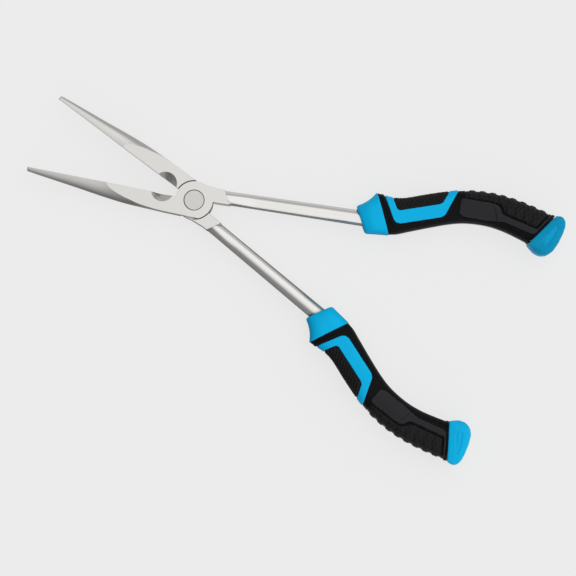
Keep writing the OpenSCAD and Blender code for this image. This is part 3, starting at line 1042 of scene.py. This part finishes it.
def build_levers():
    points, faces = lever_mesh()
    face_marks = lever_face_marks(points, faces)
    x, y, z = points.T
    # painted shade: the jaws darken towards the edge away from the gripping face, more broadly on
    # the +z side
    depth = spline(np.clip(-x, JAW_X[0], JAW_X[-1]), JAW_X, JAW_DEPTH)
    across = np.clip(-y / depth, 0, 1)
    shade = np.where(z > 0, 0.34 * smooth(across, 0.25, 0.95), 0.30 * smooth(across, 0.55, 0.9))
    shade = shade * smooth(-x, 22, 32)
    # the front lever's neck runs into its shank without a line of painted corner shade
    neck = {"front": smooth(x, 12.5, 15.0), "rear": np.zeros(len(x))}
    # painted shade: the rear lever's cutter cones are dark as well
    cutter_shade = {"front": 0.0, "rear": 0.585}
    for side in SIDES:
        gap = face_marks["gap"] + cutter_shade[side] * face_marks["cut"]
        ob = add_to_side(
            side, "forged_lever", points, faces, SATIN_STEEL, "lever", "stainless", sharp=22,
            point_marks={"side_shade": shade, "neck": neck[side]},
            face_marks={**face_marks, "gap": gap},
        )
        crease_flats(ob.data)


# ------------------------------------------------------------------ rivet
# radius, height; both heads flush with a small dressed edge
RIVET_PROFILE = [
    (4.88, 0.0), (5.05, 0.07), (5.12, 0.2), (5.12, 0.26), (4.0, 1.38),
    (4.0, 8.35), (5.15, 9.5), (5.13, 9.78), (5.05, 9.93), (4.88, 10.0),
]


def build_rivet():
    a = circle_angles(144)
    circle = np.stack([np.cos(a), np.sin(a)], 1)
    rings = [at_height(r * circle, z - HALF_THICK) for r, z in RIVET_PROFILE]
    points, faces = loft(rings, caps=True)
    world = np.c_[points[:, :2], points[:, 2] + HALF_THICK] * MM
    # painted shade on the rivet heads' rims, carried by the gap mark
    on_rim = np.array([np.hypot(*points[face][:, :2].T).min() > 5.0 for face in faces])
    rivet = add_piece(
        "joint_rivet", world, points, faces, RIVET_STEEL, sharp=18,
        face_marks={"gap": 0.55 * on_rim},
    )
    register(rivet, "front_half", "pivot_rivet")


def paint_cores():
    """The hidden cores keep their CAD shape."""
    for side in SIDES:
        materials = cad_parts[f"{side}_grip_core"].data.materials
        materials.clear()
        materials.append(CORE)


# ------------------------------------------------------------------ floor, light, camera
FLOOR_Z = -0.0036
FLOOR_HALF = 3.0
CENTRE = Vector((0.06268, -0.02126, 0.005))  # what the camera and lamps aim at
VIEW_ROLL = math.radians(24.2)
# the view's right and up directions, laid on the floor
VIEW_RIGHT = Vector((math.cos(VIEW_ROLL), math.sin(VIEW_ROLL), 0))
VIEW_UP = Vector((-math.sin(VIEW_ROLL), math.cos(VIEW_ROLL), 0))


def floor_material():
    """Even glow for the camera; for other rays, brighter up the view and under the grips."""
    material, tree, shader = new_material("pale_floor")
    place = add_node(tree, "TexCoord").outputs["Object"]
    grain = noise(tree, place, detail=2, scale=3.0)
    to_camera = add_node(tree, "LightPath").outputs["Is Camera Ray"]
    position = add_node(tree, "NewGeometry").outputs["Position"]
    up_view = dot(tree, position, (-0.40992, 0.91212, 0.0))  # VIEW_UP, to five places
    card = fade(tree, up_view, start=-0.010, end=0.004, low=0.11, high=0.50)
    others = calc(tree, "SUBTRACT", 1.0, to_camera)
    position = add_node(tree, "NewGeometry").outputs["Position"]
    x = add_node(tree, "SeparateXYZ", {0: position}).outputs["X"]
    under_grips = fade(tree, x, start=0.092, end=0.120, low=0.0, high=0.55)
    glow = calc(tree, "MULTIPLY", others, calc(tree, "MAXIMUM", card, under_grips))
    glow = calc(tree, "MULTIPLY_ADD", to_camera, 0.73, glow)
    glow = calc(tree, "MULTIPLY_ADD", grain, 0.002, glow)
    feed(tree, shader, {
        "Base Color": (0.12, 0.12, 0.12, 1),
        "Roughness": 0.9,
        "Specular IOR Level": 0.05,
        "Emission Color": (1, 1, 1, 1),
        "Emission Strength": glow,
    })
    return material


def build_floor():
    material = floor_material()
    mesh = bpy.data.meshes.new("floor")
    signs = ((-1, -1), (1, -1), (1, 1), (-1, 1))
    corners = [(x * FLOOR_HALF, y * FLOOR_HALF, FLOOR_Z) for x, y in signs]
    mesh.from_pydata(corners, [], [(0, 1, 2, 3)])
    floor = bpy.data.objects.new("floor", mesh)
    bpy.context.scene.collection.objects.link(floor)
    mesh.materials.append(material)


def root_of_squares(tree, a, b):
    squares = [calc(tree, "MULTIPLY", value, value) for value in (a, b)]
    return calc(tree, "SQRT", calc(tree, "ADD", *squares))


def build_world():
    """One broad oval softbox overhead with dim surroundings."""
    world = bpy.data.worlds.new("studio")
    bpy.context.scene.world = world
    world.use_nodes = True
    tree = world.node_tree
    tree.nodes.clear()
    output = add_node(tree, "OutputWorld")
    background = add_node(tree, "Background")
    tree.links.new(background.outputs[0], output.inputs[0])
    sky = add_node(tree, "TexCoord").outputs["Generated"]
    right, up = dot(tree, sky, VIEW_RIGHT), dot(tree, sky, VIEW_UP)

    # softbox centre at right 0.26, up -0.25; half sizes 0.74 and 1
    box_right = calc(tree, "MULTIPLY_ADD", right, 1 / 0.74, -0.26 / 0.74)
    box_up = calc(tree, "MULTIPLY_ADD", up, 1.0, 0.25)
    box = fade(tree, root_of_squares(tree, box_right, box_up), 0.88, 1.20, low=1.0, high=0.0)
    # a little dimmer straight above, behind the camera
    zenith = fade(tree, root_of_squares(tree, right, up), 0.17, 0.48, low=0.99, high=1.02)
    slant = calc(tree, "MULTIPLY_ADD", right, 0.35, up)
    surround = fade(tree, slant, -0.5, 0.6, low=0.25, high=0.44)
    # the box falls off gently to the left
    leftward = calc(tree, "MULTIPLY_ADD", up, 0.13, calc(tree, "MULTIPLY", right, -0.99))
    box = calc(tree, "MULTIPLY", box, fade(tree, leftward, 0.0, 0.58, low=1.0, high=0.0))
    bright = calc(tree, "MULTIPLY", box, zenith)
    dim = calc(tree, "MULTIPLY", calc(tree, "SUBTRACT", 1.0, box), surround)
    feed(tree, background, {
        "Strength": calc(tree, "ADD", bright, dim), "Color": (1.0, 0.995, 0.985, 1),
    })


def add_lamp(name, location, size, power):
    light = bpy.data.lights.new(name, "AREA")
    light.shape = "SQUARE"
    light.size = size
    light.energy = power
    lamp = bpy.data.objects.new(name, light)
    bpy.context.scene.collection.objects.link(lamp)
    lamp.location = location
    lamp.rotation_euler = (CENTRE - location).to_track_quat("-Z", "Y").to_euler()
    lamp.visible_glossy = False
    lamp.visible_camera = False


def add_lamps():
    key_side = (VIEW_UP * 0.6 + VIEW_RIGHT * 0.4).normalized()
    add_lamp("key", CENTRE + key_side * 0.7 + Vector((0, 0, 0.9)), size=0.7, power=1.6)
    add_lamp("top", CENTRE + Vector((0, 0, 1.6)), size=1.2, power=1.6)


def add_camera():
    """Looks down along the pivot, rolled and leaning a little."""
    distance = 1.10
    view_width = 0.29713696  # metres seen across at that distance
    sensor_width = 36
    lean_up, lean_right = math.radians(3.5), math.radians(0.79)
    turn = math.radians(0.044)  # small extra roll
    lean = Vector((0, 0, 1)) - VIEW_UP * math.tan(lean_up) + VIEW_RIGHT * math.tan(lean_right)
    lean.normalize()
    location = CENTRE + lean * distance
    right = VIEW_RIGHT * math.cos(turn) + VIEW_UP * math.sin(turn)
    z_axis = (location - CENTRE).normalized()
    x_axis = right - z_axis * right.dot(z_axis)
    x_axis.normalize()
    matrix = Matrix((x_axis, z_axis.cross(x_axis), z_axis)).transposed().to_4x4()
    matrix.translation = location

    data = bpy.data.cameras.new("camera")
    data.sensor_width = sensor_width
    data.lens = sensor_width * distance / view_width
    data.clip_start = 0.01
    camera = bpy.data.objects.new("camera", data)
    bpy.context.scene.collection.objects.link(camera)
    camera.matrix_world = matrix
    bpy.context.scene.camera = camera


build_grip()
build_collar()
build_end_cap()
build_levers()
build_rivet()
paint_cores()
build_floor()
build_world()
add_lamps()
add_camera()
bpy.context.scene.view_settings.view_transform = "Standard"
bpy.context.scene.view_settings.look = "None"
